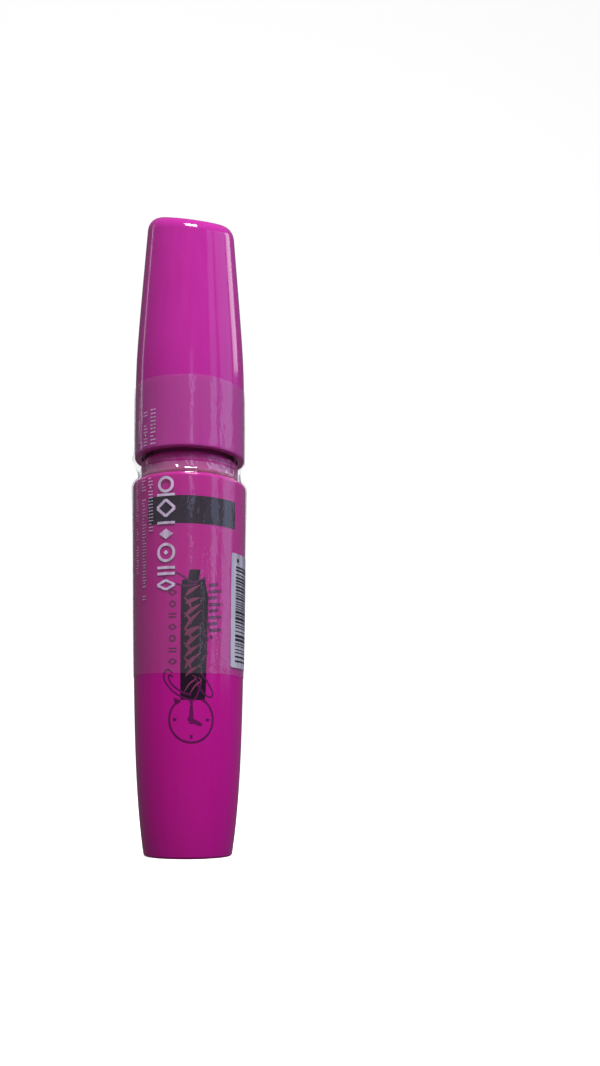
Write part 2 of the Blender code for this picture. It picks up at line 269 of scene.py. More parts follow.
def moulding_group():
    """Moulded plastic: slow shade drift, faint flow lines along the axis, fine dust and hairline scuffs."""
    group = bpy.data.node_groups.new("moulded_plastic", "ShaderNodeTree")
    for way, sockets in (
        ("INPUT", {"Colour": "Color", "Deep Colour": "Color", "Roughness": "Float", "Scuffs": "Float"}),
        ("OUTPUT", {"Colour": "Color", "Roughness": "Float", "Height": "Float"}),
    ):
        for name, kind in sockets.items():
            group.interface.new_socket(name=name, in_out=way, socket_type="NodeSocket" + kind)
    given = node(group, "NodeGroupInput").outputs
    drift = grain(group, (70.0, 70.0, 70.0), 3.0)
    flow = grain(group, (900.0, 900.0, 25.0), 4.0)
    dust = grain(group, (2600.0, 2600.0, 2600.0), 2.0)
    hairs = grain(group, (260.0, 2400.0, 420.0), 5.0, turn=(0.5, 0.3, 0.8))
    shade = ramp(group, maths(group, "ADD", drift, flow), 0.8, 1.2)
    colour = blended(group, shade, given["Deep Colour"], given["Colour"])
    marks = maths(group, "ADD", ramp(group, hairs, 0.56, 0.7), ramp(group, dust, 0.66, 0.74, end=0.5))
    roughness = maths(group, "MULTIPLY_ADD", marks, given["Scuffs"], given["Roughness"])
    node(group, "NodeGroupOutput", {"Colour": colour, "Roughness": roughness, "Height": flow})
    return group


def material(name):
    """A new material, its node tree and its Principled BSDF."""
    made = bpy.data.materials.new(name)
    made.use_nodes = True
    return made, made.node_tree, made.node_tree.nodes["Principled BSDF"]


MOULDED = moulding_group()


def plastic(name, colour, deep, roughness, scuffs=0.08, ripple=0.00002, gloss=0.5):
    """Solid moulded plastic with the marks of its moulding."""
    made, tree, shader = material(name)
    given = {"Colour": (*colour, 1), "Deep Colour": (*deep, 1), "Roughness": roughness, "Scuffs": scuffs}
    marks = node(tree, "ShaderNodeGroup", given, node_tree=MOULDED).outputs
    looks = {"Base Color": marks["Colour"], "Roughness": marks["Roughness"], "Specular IOR Level": gloss}
    wire(shader, {**looks, "Normal": relief(tree, marks["Height"], ripple, 0.5)})
    return made


BOTTLE_MAGENTA = plastic("bottle_magenta", (0.61, 0.004, 0.325), (0.585, 0.003, 0.305), 0.14)
bottle = turned("bottle_moulding", bottle_outline, BOTTLE_MAGENTA)
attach(bottle, "bottle")
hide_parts("bottle")


# ---- Front print ----
# Ink screened straight on the bottle: a black label bar and a ragged black brush mark with dull pink
# slashes over it, and in plum, two columns of small marks and a ring round a pair of clock hands.
# Flat shapes are laid out in millimetres, u to the right round the front and z up, then wrapped on.

PRINT_RADIUS = 10.6 * MM
PRINT_ROOT = -0.02 * MM
INK_STAND_OFF = 0.012 * MM
LINE_STAND_OFF = 1.3 * INK_STAND_OFF
OVERPRINT_STAND_OFF = 0.02 * MM
WRAP_STEP = 0.5
WRAP_START = 0.013
STROKE_STEPS = 8
FINEST_STROKE = 0.03
LABEL = (-8.3, 61.6, 9.6, 66.7)
RING_CENTRE = (0.5, 25.8)
RING_RADIUS = 4.2
RING_STROKE = 0.4
OUTLINE_STROKE = 0.32


def spline(t, a, b, c, d):
    """A value at the share t of the way from b to c, on a smooth curve that also heeds a and d."""
    return b + ((c - a) * t + (2 * a - 5 * b + 4 * c - d) * t**2 + (3 * b - a - 3 * c + d) * t**3) / 2


def smooth(points, steps=STROKE_STEPS):
    """Points along a curve that runs through the given ones, which may have any number of coordinates."""
    ends = [points[0], *points, points[-1]]
    path = []
    for group in zip(ends, ends[1:], ends[2:], ends[3:]):
        for t in spaced(0, 1, steps + 1)[:-1]:
            path.append([spline(t, *values) for values in zip(*group)])
    return path + [list(points[-1])]


def patch(flat, points):
    """A filled outline."""
    flat.faces.new([flat.verts.new((u, z, 0)) for u, z in points])


def bar(flat, left, low, right, high, corner=0.0, lean=0.0):
    """A rectangle whose top is moved right by lean, with cut corners."""
    width, height = right - left, high - low
    steps = ((corner, 0), (width - corner, 0), (width, corner), (width, height - corner))
    steps += ((width - corner, height), (corner, height), (0, height - corner), (0, corner))
    if not corner:
        steps = ((0, 0), (width, 0), (width, height), (0, height))
    patch(flat, [(left + u + lean * z / height, low + z) for u, z in steps])


def stroke(flat, points, steps=STROKE_STEPS):
    """A stroke along a smooth curve through (u, z, width) points."""
    path = smooth(points, steps)
    sides = []
    for index, (u, z, width) in enumerate(path):
        before = path[max(index - 1, 0)]
        after = path[min(index + 1, len(path) - 1)]
        along = Vector((after[0] - before[0], after[1] - before[1])).normalized()
        across = Vector((-along.y, along.x, 0)) * max(width, FINEST_STROKE) / 2
        middle = Vector((u, z, 0))
        sides.append((flat.verts.new(middle + across), flat.verts.new(middle - across)))
    for (a, b), (c, d) in zip(sides, sides[1:]):
        flat.faces.new([a, b, d, c])


def loop(flat, centre, radius, width, start=0.0, turn=math.tau):
    """A stroke along a circle, or along a part of one."""
    u, z = centre
    angles = spaced(start, start + turn, 25)
    stroke(flat, [(u + radius * cos(a), z + radius * sin(a), width) for a in angles], 2)


def lozenge(flat, centre, width, height, line=0.0):
    """A lozenge, filled or drawn with a line."""
    u, z = centre
    corners = [(u, z - height / 2), (u + width / 2, z), (u, z + height / 2), (u - width / 2, z)]
    if not line:
        patch(flat, corners)
        return
    for (u0, z0), (u1, z1) in zip(corners, corners[1:] + corners[:1]):
        stroke(flat, [(u0, z0, line), (u1, z1, line)], 1)


def wrap(name, flat, finish, radius_at, root, lift):
    """Wraps flat shapes round the tube as a thin closed layer.

    It goes from root to lift above radius_at(z, angle). The shapes are first cut along a grid, so that
    they can bend.
    """
    bmesh.ops.triangulate(flat, faces=flat.faces, ngon_method="EAR_CLIP")
    for axis, step in ((0, WRAP_STEP), (1, 4 * WRAP_STEP)):
        places = [vert.co[axis] for vert in flat.verts]
        across = Vector((1 - axis, axis, 0))
        for index in range(math.ceil(min(places) / step), math.ceil(max(places) / step)):
            everything = [*flat.verts, *flat.edges, *flat.faces]
            cut_at = across * (index * step + WRAP_START)
            bmesh.ops.bisect_plane(flat, geom=everything, dist=1e-5, plane_co=cut_at, plane_no=across)
    layer = bmesh.new()
    sides = {}
    for vert in flat.verts:
        angle = vert.co.x * MM / PRINT_RADIUS - math.pi / 2
        z = vert.co.y * MM
        radius = radius_at(z, angle)
        for side, r in (("root", radius + root), ("face", radius + lift)):
            sides[vert, side] = layer.verts.new((r * cos(angle), r * sin(angle), z))
    for face in flat.faces:
        layer.faces.new([sides[vert, "face"] for vert in face.verts])
        layer.faces.new([sides[vert, "root"] for vert in reversed(face.verts)])
    for edge in flat.edges:
        if edge.is_boundary:
            a, b = edge.verts
            layer.faces.new([sides[a, "root"], sides[b, "root"], sides[b, "face"], sides[a, "face"]])
    flat.free()
    return as_object(name, layer, finish, sharp_above=60)


def label_bar(flat):
    bar(flat, *LABEL, corner=0.12)


def brush_mark(flat):
    """The ragged upright mark: a torn-edged band, a block on top of it and another down its right edge."""
    edges = []
    rows = spaced(29.4, 51.3, 45)
    for side, reach, swing in ((-1, 1.3, 0.55), (1, 2.75, 1.0)):
        edge = []
        for z in rows:
            tear = swing * noise.noise((3.1 * side, z * 0.9, 0)) + 0.4 * noise.noise((side, z * 2.6, 4))
            edge.append((side * reach + tear, z))
        edges.append(edge)
    patch(flat, edges[1] + edges[0][::-1])
    bar(flat, -0.3, 51.2, 1.7, 53.2, 0.15, 0.4)
    bar(flat, 2.1, 44.0, 3.0, 51.6, 0.2)


def slashes(flat):
    """Lash-like strokes, fine at both ends, fanned across the brush mark."""
    for z in spaced(34.6, 49.3, 9):
        reach = 1.25 + 0.5 * noise.noise((z * 1.7, 0.4, 0))
        lean = 1.1 + 1.3 * noise.noise((z * 0.9, 7.0, 0))
        weight = 0.72 + 0.4 * noise.noise((z * 2.3, 2.0, 1.0))
        start, end = 0.45 - reach, 0.9 + reach
        stroke(flat, [(start, z - lean, 0.08), (0.2, z, weight), (end, z + lean * 1.2, 0.08)])
    for z in spaced(36.2, 47.2, 5):
        stroke(flat, [(-1.0, z + 1.0, 0.06), (0.0, z - 0.1, 0.5), (0.4, z - 1.3, 0.06)])
    for u, z in ((0.1, 31.4), (1.1, 31.0)):
        hook = [(u - 1.0, z - 0.7, 0.06), (u, z + 0.9, 0.3), (u + 1.2, z + 2.0, 0.2)]
        stroke(flat, hook + [(u + 0.4, z + 2.6, 0.05)])


def loose_lines(flat):
    """Thin lines that run loose round both ends of the brush mark and down its right side."""
    swash = [(2.9, 51.9), (0.6, 50.9), (-2.2, 52.5), (-4.3, 52.3), (-4.5, 51.4)]
    swash += [(-2.6, 50.6), (-0.4, 50.2), (1.4, 50.6)]
    spur = [(2.6, 44.3), (3.7, 43.0), (2.7, 41.7), (3.5, 40.6), (2.9, 39.4), (3.4, 38.0), (2.4, 36.9)]
    curl = [(-3.1, 34.3), (-3.9, 34.9), (-4.7, 34.2), (-4.5, 32.8), (-3.0, 31.0)]
    curl += [(-0.8, 29.7), (0.9, 29.4), (1.6, 30.4), (2.3, 32.6)]
    inner_curl = [(-2.9, 33.6), (-3.8, 33.9), (-3.3, 32.4), (-1.4, 30.9), (0.4, 30.3)]
    petal = [(2.2, 34.4), (3.4, 32.9), (4.5, 31.0), (4.3, 30.0), (3.1, 30.4), (1.9, 31.8), (1.3, 33.4)]
    for path in (swash, spur, curl, inner_curl, petal):
        stroke(flat, [(u, z, OUTLINE_STROKE) for u, z in path])


def small_marks(flat):
    """A column of small generic marks to the left of the brush mark, and slanted bars to its right."""
    for index, z in enumerate(spaced(36.4, 49.0, 7)):
        if index % 3 == 0:
            lozenge(flat, (-3.05, z), 1.5, 1.0, 0.26)
        elif index % 3 == 1:
            bar(flat, -3.8, z - 0.42, -2.3, z - 0.16)
            bar(flat, -3.8, z + 0.16, -2.3, z + 0.42)
        else:
            loop(flat, (-3.05, z), 0.5, 0.26)
    for index, z in enumerate(spaced(42.3, 50.6, 8)):
        reach = (6.2, 5.5)[index % 2]
        patch(flat, [(3.6, z - 0.45), (reach, z - 0.1), (reach, z + 0.5), (3.6, z + 0.15)])
    lozenge(flat, (4.2, 41.0), 0.9, 0.9)


def clock(flat):
    """A ring that ends in an arrowhead at its upper left, round two clock hands and four ticks."""
    u, z = RING_CENTRE
    loop(flat, RING_CENTRE, RING_RADIUS, RING_STROKE, math.radians(62), math.radians(-282))
    tip_u, tip_z = u - 2.55, z + 3.35
    patch(flat, [(tip_u + 0.75, tip_z + 0.05), (tip_u - 0.75, tip_z + 0.65), (tip_u - 0.55, tip_z - 0.85)])
    stroke(flat, [(u, z - 0.8, 0.7), (u, z + 0.9, 0.8), (u, z + 2.7, 0.5)], 3)
    stroke(flat, [(u - 0.65, z + 0.2, 0.7), (u + 0.9, z - 0.5, 0.8), (u + 2.0, z - 1.0, 0.5)], 3)
    for quarter in range(4):
        turn = quarter * math.pi / 2
        stroke(flat, [(u + r * cos(turn), z + r * sin(turn), 0.5) for r in (2.8, 3.5)], 1)


def on_body(z, angle):
    return body_radius(z)


def ink(name, colour, roughness):
    """Screen ink: an even film with pinholes and a slightly dry surface."""
    deep = tuple(0.6 * channel for channel in colour)
    return plastic(name, colour, deep, roughness, scuffs=0.2, ripple=0.00001)


def bottle_print(name, drawings, lift, finish):
    """One pass of the printing screen, with one ink."""
    flat = bmesh.new()
    for draw in drawings:
        draw(flat)
    layer = wrap(name, flat, finish, on_body, PRINT_ROOT, lift)
    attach(layer, "bottle")


BLACK_INK = ink("black_ink", (0.02, 0.004, 0.024), 0.26)
PLUM_INK = ink("plum_ink", (0.18, 0.003, 0.12), 0.3)
PINK_INK = ink("pink_ink", (0.36, 0.05, 0.16), 0.3)
bottle_print("block_print", [label_bar, brush_mark], INK_STAND_OFF, BLACK_INK)
bottle_print("line_print", [loose_lines, small_marks, clock], LINE_STAND_OFF, PLUM_INK)
bottle_print("slash_print", [slashes], OVERPRINT_STAND_OFF, PINK_INK)


# ---- Mascara ----
# The filling: a wet black cream with an uneven top. The brush has worked a channel down its middle,
# which follows the bristles and never closes while the brush stands in it.

FILL_TOP_Z = 61.6 * MM
FILL_CHANNEL_RADIUS = 5.2 * MM
FILL_CHANNEL_FLOOR_Z = 4.1 * MM
FILL_CLEARANCE = 0.3 * MM
FILL_CREST = 0.7 * MM
FILL_CHANNEL_WANDER = 0.5 * MM


def ring_noise(angle, scale, height, shift=0.0):
    """Noise that closes on itself round the axis."""
    return noise.noise((scale * cos(angle) + shift, scale * sin(angle), height))


def fill_outline(angle):
    foot_z = BOTTLE_FLOOR_Z + FILL_CLEARANCE
    side_rows = spaced(3 * BOTTLE_WALL, FILL_TOP_Z - 0.8 * MM, 20)
    side = [(body_radius(z) - BOTTLE_WALL - FILL_CLEARANCE, z) for z in side_rows]
    crest, channel = [], []
    for r in spaced(side[-1][0] - 0.3 * MM, FILL_CHANNEL_RADIUS + 0.5 * MM, 7):
        rise = FILL_CREST * ring_noise(angle, 2.2, 40 * r / MM * 0.3)
        crest.append((r, FILL_TOP_Z + rise - 0.35 * MM))
    for z in spaced(FILL_TOP_Z - 1.4 * MM, FILL_CHANNEL_FLOOR_Z + 0.6 * MM, 60):
        wander = abs(FILL_CHANNEL_WANDER * ring_noise(angle, 1.4, z * 4 / MM * 0.3))
        channel.append((FILL_CHANNEL_RADIUS + wander, z))
    foot = [(0, foot_z), (body_radius(foot_z) - BOTTLE_WALL - FILL_CLEARANCE, foot_z, 1.0 * MM)]
    return rounded(foot + side + crest + channel + [(0, FILL_CHANNEL_FLOOR_Z)])


def cream(name):
    """Wet cream: black with a soft skin, streaked where the brush has dragged it."""
    made, tree, shader = material(name)
    drag = grain(tree, (700.0, 700.0, 160.0), 4.0)
    looks = {"Roughness": ramp(tree, drag, 0.3, 0.7, 0.1, 0.42), "Coat Weight": 0.5, "Coat Roughness": 0.12}
    looks["Base Color"] = blended(tree, drag, (0.004, 0.004, 0.005, 1), (0.018, 0.013, 0.016, 1))
    wire(shader, {**looks, "Normal": relief(tree, drag, 0.00015, 0.6)})
    return made


fill = turned("mascara_cream", fill_outline, cream("mascara_cream"), sides=96)
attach(fill, "bottle")
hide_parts("mascara_fill")


# ---- Wiper ----
# Soft black moulding pushed into the neck. Its flange sits on the mouth, and its cone ends in a thin
# round lip that scrapes the stem and the brush. It turns with the cap as the cap unscrews.

WIPER_RADIUS = 5.4 * MM
WIPER_WALL = 0.5 * MM
WIPER_FLANGE_RADIUS = 6.9 * MM
WIPER_FLANGE_HEIGHT = 0.7 * MM
WIPER_CONE_Z = 75.2 * MM
WIPER_LIP_Z = 70.6 * MM
WIPER_ORIFICE_RADIUS = 2.25 * MM
WIPER_BEAD = 0.12 * MM
WIPER_BEADS = 3
WIPER_SEAT_GAP = 0.15 * MM


def wiper_outline(angle):
    foot = MOUTH_Z + WIPER_SEAT_GAP
    top = foot + WIPER_FLANGE_HEIGHT
    bore = WIPER_RADIUS - WIPER_WALL
    beads = []
    for z in spaced(foot - 9.5 * MM, foot - 3 * MM, WIPER_BEADS):
        for step, out in ((-2 * WIPER_BEAD, 0), (0, WIPER_BEAD), (2 * WIPER_BEAD, 0)):
            beads.append((WIPER_RADIUS + out, z + step))
    lip = WIPER_ORIFICE_RADIUS
    return rounded(
        [(WIPER_RADIUS, foot, 0.1 * MM), (WIPER_FLANGE_RADIUS, foot, 0.15 * MM)]
        + [(WIPER_FLANGE_RADIUS, top, 0.25 * MM), (bore, top, 0.25 * MM), (bore, WIPER_CONE_Z, 1.2 * MM)]
        + [(lip, WIPER_LIP_Z, 0.1 * MM), (lip + 0.3 * MM, WIPER_LIP_Z - 0.4 * MM, 0.1 * MM)]
        + [(WIPER_RADIUS, WIPER_CONE_Z - 0.6 * MM, 1.2 * MM)]
        + beads
    )


WIPER_BLACK = plastic("wiper_black", (0.02, 0.014, 0.02), (0.008, 0.006, 0.009), 0.42, 0.3, 0.00003, 0.35)
wiper = turned("neck_wiper", wiper_outline, WIPER_BLACK, sides=96)
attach(wiper, "wiper")
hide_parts("wiper")


# ---- Cap shell ----
# Outer cap of the same magenta plastic: a cup that tapers to a flat top, which is cut on a slant and
# has a rounded edge.

CAP_RADIUS = 10.5 * MM
CAP_TAPER = 0.087
CAP_TAPER_Z = 94.0 * MM
CAP_TAPER_BLEND = 6.0 * MM
CAP_TOP_Z = 122.2 * MM
CAP_SLANT = math.radians(24.5)
CAP_LOW_SIDE = math.radians(-81.0)
CAP_TOP_FILLET = 2.9 * MM
CAP_INNER_FILLET = 1.5 * MM
CAP_WALL = 1.3 * MM
CAP_BORE_RADIUS = 9.15 * MM
CAP_BORE_TOP_Z = 92.5 * MM
CAP_RIM_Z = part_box("cap_shell")[0].z
CAP_RIM_FILLET = 0.25 * MM


def cap_radius(z):
    """Nearly straight at the rim, bending smoothly into a steady taper."""
    above = z - CAP_TAPER_Z
    return CAP_RADIUS - CAP_TAPER * (math.hypot(above, CAP_TAPER_BLEND) + above) / 2


def cap_top_corner(angle, inset, drop):
    """Where the wall, moved in by inset, meets the slanted top, moved down by drop."""
    slope = -math.tan(CAP_SLANT) * cos(angle - CAP_LOW_SIDE)
    r = CAP_RADIUS - inset
    for _ in range(6):
        z = CAP_TOP_Z - drop + slope * r
        r = cap_radius(z) - inset
    return r, z


def cap_outline(angle):
    edge_r, edge_z = cap_top_corner(angle, 0, 0)
    inner_r, inner_z = cap_top_corner(angle, CAP_WALL, CAP_WALL)
    wall = spaced(CAP_RIM_Z + 1 * MM, edge_z - 1.6 * CAP_TOP_FILLET, 30)
    inner_wall = spaced(inner_z - 2 * CAP_INNER_FILLET, CAP_BORE_TOP_Z + 1 * MM, 8)
    step = cap_radius(CAP_BORE_TOP_Z) - CAP_WALL - 0.2 * MM
    inside = [(0, CAP_TOP_Z - CAP_WALL), (inner_r, inner_z, CAP_INNER_FILLET)]
    inside += [(cap_radius(z) - CAP_WALL, z) for z in inner_wall]
    inside += [(step, CAP_BORE_TOP_Z), (CAP_BORE_RADIUS, CAP_BORE_TOP_Z)]
    rim = [(CAP_BORE_RADIUS, CAP_RIM_Z, 0.15 * MM), (cap_radius(CAP_RIM_Z), CAP_RIM_Z, CAP_RIM_FILLET)]
    outside = [(cap_radius(z), z) for z in wall] + [(edge_r, edge_z, CAP_TOP_FILLET), (0, CAP_TOP_Z)]
    return rounded(inside + rim + outside)


CAP_MAGENTA = plastic("cap_magenta", (0.57, 0.028, 0.37), (0.54, 0.024, 0.345), 0.11)
cap = turned("cap_moulding", cap_outline, CAP_MAGENTA)
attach(cap, "cap")
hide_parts("cap_shell")


# ---- Inner cap ----
# Satin pink moulding pressed into the cap shell: a skirt with the matching thread, a ceiling that seals
# on the wiper's flange, and a long tapered boss that grips the stem.

LINER_RADIUS = 9.0 * MM
LINER_BORE_RADIUS = 8.55 * MM
LINER_FOOT_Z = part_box("inner_cap")[0].z + 2.0 * MM
LINER_CEILING_Z = 89.2 * MM
LINER_TOP_Z = 92.1 * MM
BOSS_ROOT_RADIUS = 4.4 * MM
BOSS_TIP_RADIUS = 2.7 * MM
BOSS_TIP_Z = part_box("inner_cap")[0].z
BOSS_BORE_RADIUS = 2.1 * MM
BOSS_BORE_TOP_Z = 86.2 * MM
BOSS_RIBS = 8
BOSS_RIB_HEIGHT = 0.35 * MM


def boss_outline(angle):
    """The boss's flank, with ribs that run down from its root and fade out towards its tip."""
    ribbed = max(0.0, cos(BOSS_RIBS * angle)) ** 6
    flank = []
    for share in spaced(0.04, 0.93, 16):
        rib = BOSS_RIB_HEIGHT * ribbed * ease((0.8 - share) / 0.5)
        r = BOSS_ROOT_RADIUS + (BOSS_TIP_RADIUS - BOSS_ROOT_RADIUS) * share + rib
        flank.append((r, LINER_CEILING_Z + (BOSS_TIP_Z - LINER_CEILING_Z) * share))
    return flank


def inner_cap_outline(angle):
    thread = [(LINER_BORE_RADIUS - thread_height(z, angle + math.pi), z) for z in thread_rows()]
    skirt = [(0, LINER_TOP_Z), (LINER_RADIUS, LINER_TOP_Z, 0.4 * MM)]
    skirt += [(LINER_RADIUS, LINER_FOOT_Z, 0.15 * MM), (LINER_BORE_RADIUS, LINER_FOOT_Z, 0.15 * MM)]
    ceiling = [(LINER_BORE_RADIUS, LINER_CEILING_Z, 0.3 * MM)]
    ceiling.append((BOSS_ROOT_RADIUS + 0.6 * MM, LINER_CEILING_Z))
    tip = [(BOSS_TIP_RADIUS, BOSS_TIP_Z + 0.4 * MM), (BOSS_TIP_RADIUS, BOSS_TIP_Z, 0.3 * MM)]
    tip.append((BOSS_BORE_RADIUS, BOSS_TIP_Z, 0.1 * MM))
    bore = [(BOSS_BORE_RADIUS, BOSS_BORE_TOP_Z), (0, BOSS_BORE_TOP_Z)]
    return rounded(skirt + thread + ceiling) + boss_outline(angle) + rounded(tip + bore)


INNER_CAP_PINK = plastic("inner_cap_pink", (0.6, 0.02, 0.3), (0.5, 0.012, 0.24), 0.34, 0.12, 0.00003)
inner_cap = turned("inner_cap_moulding", inner_cap_outline, INNER_CAP_PINK)
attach(inner_cap, "cap")
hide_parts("inner_cap")


# ---- Wand stem ----
# Round black rod, moulded straight, pressed into the boss above. Its narrowed end is crimped round the
# brush's shank, and two shallow grooves above the crimp keep the cream from creeping up.

STEM_RADIUS = 1.95 * MM
STEM_END_RADIUS = 1.7 * MM
STEM_END_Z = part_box("wand_stem")[0].z
STEM_TOP_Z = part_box("wand_stem")[1].z
STEM_SOCKET_RADIUS = 1.05 * MM
STEM_SOCKET_TOP_Z = 40.0 * MM
STEM_GROOVE = 0.12 * MM
STEM_GROOVE_REACH = 0.35 * MM
CRIMP_LENGTH = 2.8 * MM


def stem_outline(angle):
    crimp_top = STEM_END_Z + CRIMP_LENGTH
    grooves = []
    for z in (crimp_top + 1.2 * MM, crimp_top + 2.4 * MM):
        grooves += [(STEM_RADIUS, z - STEM_GROOVE_REACH), (STEM_RADIUS - STEM_GROOVE, z, 0.15 * MM)]
        grooves.append((STEM_RADIUS, z + STEM_GROOVE_REACH))
    inside = [(0, STEM_SOCKET_TOP_Z), (STEM_SOCKET_RADIUS, STEM_SOCKET_TOP_Z, 0.1 * MM)]
    inside.append((STEM_SOCKET_RADIUS, STEM_END_Z, 0.08 * MM))
    crimp = [(STEM_END_RADIUS, STEM_END_Z, 0.2 * MM)]
    crimp.append((STEM_END_RADIUS + 0.04 * MM, crimp_top - 0.8 * MM, 0.5 * MM))
    crimp.append((STEM_RADIUS, crimp_top, 0.5 * MM))
    rod = [(STEM_RADIUS, z) for z in spaced(crimp_top + 4 * MM, STEM_TOP_Z - 1 * MM, 12)]
    return rounded(inside + crimp + grooves + rod + [(STEM_RADIUS, STEM_TOP_Z, 0.3 * MM), (0, STEM_TOP_Z)])


STEM_BLACK = plastic("stem_black", (0.016, 0.017, 0.018), (0.01, 0.01, 0.011), 0.24, 0.16)
stem = turned("stem_rod", stem_outline, STEM_BLACK, sides=64)
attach(stem, "cap")
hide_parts("wand_stem")


# ---- Brush ----
# Moulded elastomer brush on one shank: rows of fine tapered bristles, staggered from row to row, that
# shorten towards a round tip, and six dense rows in a short cone at the root.

BRUSH_WIDEST_RADIUS = 4.6 * MM
BRUSH_TIP_SHARE = 0.2
BRUSH_SKIRT_SHARE = 0.42
BRUSH_SKIRT_LENGTH = 3.0 * MM
BRUSH_ROOT_Z = 34.9 * MM
BRUSH_TIP_Z = 5.0 * MM
BRUSH_SHANK_TOP_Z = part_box("brush")[1].z
BRUSH_SHANK_RADIUS = 0.85 * MM
BRUSH_CORE_RADIUS = 1.45 * MM
BRUSH_CORE_TIP_RADIUS = 1.0 * MM
BRISTLE_SEAT_RADIUS = 0.6 * MM
BRISTLE_SIDES = 6
BRISTLE_ROWS = 26
BRISTLES_PER_ROW = 15
BRISTLE_ROOT_RADIUS = 0.3 * MM
BRISTLE_TIP_RADIUS = 0.12 * MM
BRISTLE_DROOP = 0.12 * MM
SKIRT_ROWS = 6
SKIRT_BRISTLES_PER_ROW = 26
BRUSH_SEED = 11


def brush_radius(z):
    """Reach of the bristles: a short cone at the root, then a long taper to a round tip."""
    along = (BRUSH_ROOT_Z - z) / (BRUSH_ROOT_Z - BRUSH_TIP_Z)
    taper = 1 - (1 - BRUSH_TIP_SHARE) * along**4
    skirt = min(1.0, BRUSH_SKIRT_SHARE + (1 - BRUSH_SKIRT_SHARE) * (BRUSH_ROOT_Z - z) / BRUSH_SKIRT_LENGTH)
    return BRUSH_WIDEST_RADIUS * taper * skirt


def bristle(shape, angle, z, reach, droop):
    """One closed tapered bristle, from inside the core out to its reach."""
    out = Vector((cos(angle), sin(angle), 0))
    across = Vector((-out.y, out.x, 0))
    rings = []
    for share in (0.0, 0.5, 0.9, 1.0):
        r = BRISTLE_SEAT_RADIUS + (reach - BRISTLE_SEAT_RADIUS) * share
        thick = BRISTLE_ROOT_RADIUS + (BRISTLE_TIP_RADIUS - BRISTLE_ROOT_RADIUS) * share
        thick *= 0.6 if share == 1.0 else 1.0
        centre = out * r + Vector((0, 0, z + droop * share**2))
        ring = []
        for side in range(BRISTLE_SIDES):
            turn = math.tau * side / BRISTLE_SIDES
            ring.append(shape.verts.new(centre + thick * (across * cos(turn) + Vector((0, 0, sin(turn))))))
        rings.append(ring)
    for low, high in zip(rings, rings[1:]):
        for side in range(BRISTLE_SIDES):
            following = (side + 1) % BRISTLE_SIDES
            shape.faces.new([low[side], low[following], high[following], high[side]])
    shape.faces.new(rings[0][::-1])
    shape.faces.new(rings[-1])


def bristle_field(finish):
    """Every bristle, row by row from the root to the tip."""
    shape = bmesh.new()
    chance = random.Random(BRUSH_SEED)
    skirt_foot = BRUSH_ROOT_Z - BRUSH_SKIRT_LENGTH
    skirt_rows = spaced(BRUSH_ROOT_Z - 0.2 * MM, skirt_foot, SKIRT_ROWS)
    plain_rows = spaced(skirt_foot - 1.0 * MM, BRUSH_TIP_Z + 0.5 * MM, BRISTLE_ROWS)
    rows = [(z, SKIRT_BRISTLES_PER_ROW) for z in skirt_rows] + [(z, BRISTLES_PER_ROW) for z in plain_rows]
    for row, (z, count) in enumerate(rows):
        for step in range(count):
            angle = math.tau * (step + 0.5 * (row % 2)) / count + chance.uniform(-0.03, 0.03)
            reach = brush_radius(z) * chance.uniform(0.95, 1.0)
            height = z + chance.uniform(-0.04, 0.04) * MM
            bristle(shape, angle, height, reach, BRISTLE_DROOP * chance.uniform(-1, 1))
    return as_object("brush_bristles", shape, finish, sharp_above=60)


def brush_core_outline(angle):
    rows = spaced(BRUSH_ROOT_Z - 0.8 * MM, BRUSH_TIP_Z + 1.2 * MM, 30)
    radii = spaced(BRUSH_CORE_RADIUS, BRUSH_CORE_TIP_RADIUS, 30)
    shank = [(0, BRUSH_SHANK_TOP_Z), (BRUSH_SHANK_RADIUS, BRUSH_SHANK_TOP_Z, 0.2 * MM)]
    shank.append((BRUSH_SHANK_RADIUS, BRUSH_ROOT_Z + 0.3 * MM, 0.1 * MM))
    core = [(BRUSH_CORE_RADIUS, BRUSH_ROOT_Z, 0.2 * MM), *zip(radii, rows)]
    return rounded(shank + core + [(BRUSH_CORE_TIP_RADIUS, BRUSH_TIP_Z, 0.8 * MM), (0, BRUSH_TIP_Z)])


def elastomer(name):
    """Satin elastomer, bright at the core and deeper towards the tips, which have cream left on them."""
    made, tree, shader = material(name)
    place = node(tree, "ShaderNodeTexCoord").outputs["Object"]
    across = node(tree, "ShaderNodeMapping", {"Vector": place, "Scale": (1.0, 1.0, 0.0)}).outputs[0]
    reach = node(tree, "ShaderNodeVectorMath", {0: across}, operation="LENGTH").outputs["Value"]
    outward = ramp(tree, reach, BRUSH_CORE_RADIUS, BRUSH_WIDEST_RADIUS)
    deepening = blended(tree, outward, (0.66, 0.016, 0.28, 1), (0.42, 0.012, 0.18, 1))
    blots = grain(tree, (420.0, 420.0, 420.0), 3.0)
    left_on = ramp(tree, maths(tree, "MULTIPLY_ADD", outward, 0.35, blots), 0.76, 0.88, end=0.8)
    looks = {"Base Color": blended(tree, left_on, deepening, (0.02, 0.006, 0.012, 1))}
    looks["Roughness"] = ramp(tree, left_on, 0.0, 1.0, 0.42, 0.2)
    looks["Normal"] = relief(tree, grain(tree, (3000.0, 3000.0, 3000.0), 2.0), 0.00004, 0.5)
    wire(shader, looks)
    return made


BRUSH_ELASTOMER = elastomer("brush_magenta")
brush_core = turned("brush_shank", brush_core_outline, BRUSH_ELASTOMER, sides=48)
bristles = bristle_field(BRUSH_ELASTOMER)
for piece in (brush_core, bristles):
    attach(piece, "cap")
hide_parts("brush")


# ---- Clear sleeve ----
# Thin clear film, shrunk on with hot air: close on the walls, and pleated where it crosses the groove
# under the cap. A ragged tear in that groove parts it into a band on the bottle and a band on the cap.

